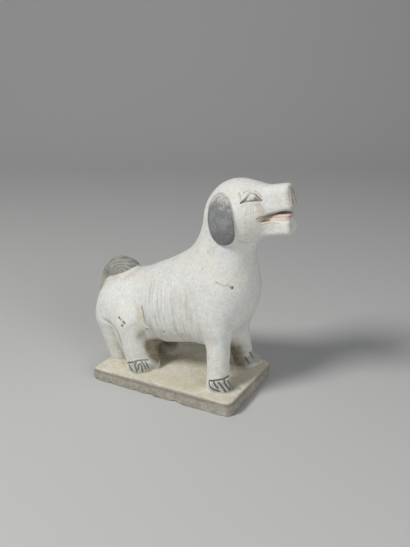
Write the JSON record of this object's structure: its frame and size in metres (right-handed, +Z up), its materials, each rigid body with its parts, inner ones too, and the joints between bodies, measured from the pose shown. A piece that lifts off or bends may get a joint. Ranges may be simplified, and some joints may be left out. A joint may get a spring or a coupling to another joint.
{
  "type": "dog figure",
  "caption": "Standing dog with raised head, open mouth, hanging oval ears and a tail curled on its back, on a plain slab; a free-standing pottery figure.",
  "frame": {"origin": "middle of the slab's underside", "axes": "+X the way the dog looks, +Y the dog's left side, +Z up"},
  "size_m": [0.2715, 0.1266, 0.2699],
  "materials": {
    "slipped_earthenware": "matt chalky white slip, soil-stained, with grey paint on ears, tail and toes and pink in the mouth"
  },
  "bodies": {
    "root": {"dog_figure": "slipped_earthenware"}
  },
  "joints": []
}
